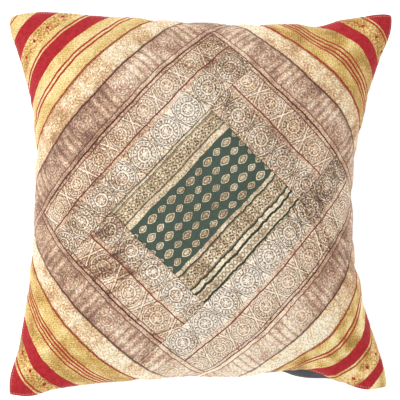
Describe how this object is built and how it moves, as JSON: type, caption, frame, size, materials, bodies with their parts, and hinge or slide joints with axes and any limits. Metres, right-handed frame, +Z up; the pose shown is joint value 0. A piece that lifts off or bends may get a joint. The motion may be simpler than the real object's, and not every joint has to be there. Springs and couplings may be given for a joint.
{
  "type": "cushion cover",
  "caption": "Filled square cushion cover with a patchwork front of brocade borders set on the diagonal round a centre piece, and a plain dark back, lying face up.",
  "frame": {"origin": "middle of the underside, on the surface that the cushion lies on", "axes": "+Z up out of the front, +X to the picture's right, +Y to the picture's top"},
  "size_m": [0.383, 0.3848, 0.1301],
  "materials": {
    "patchwork_front": "silk and metal-thread brocade, cream-gold figures on brown, green, gold and red grounds, soft sheen",
    "plain_back": "plain dark grey woven cotton, matt"
  },
  "bodies": {
    "root": {"front_panel": "patchwork_front", "filled_back": "plain_back"}
  },
  "joints": []
}
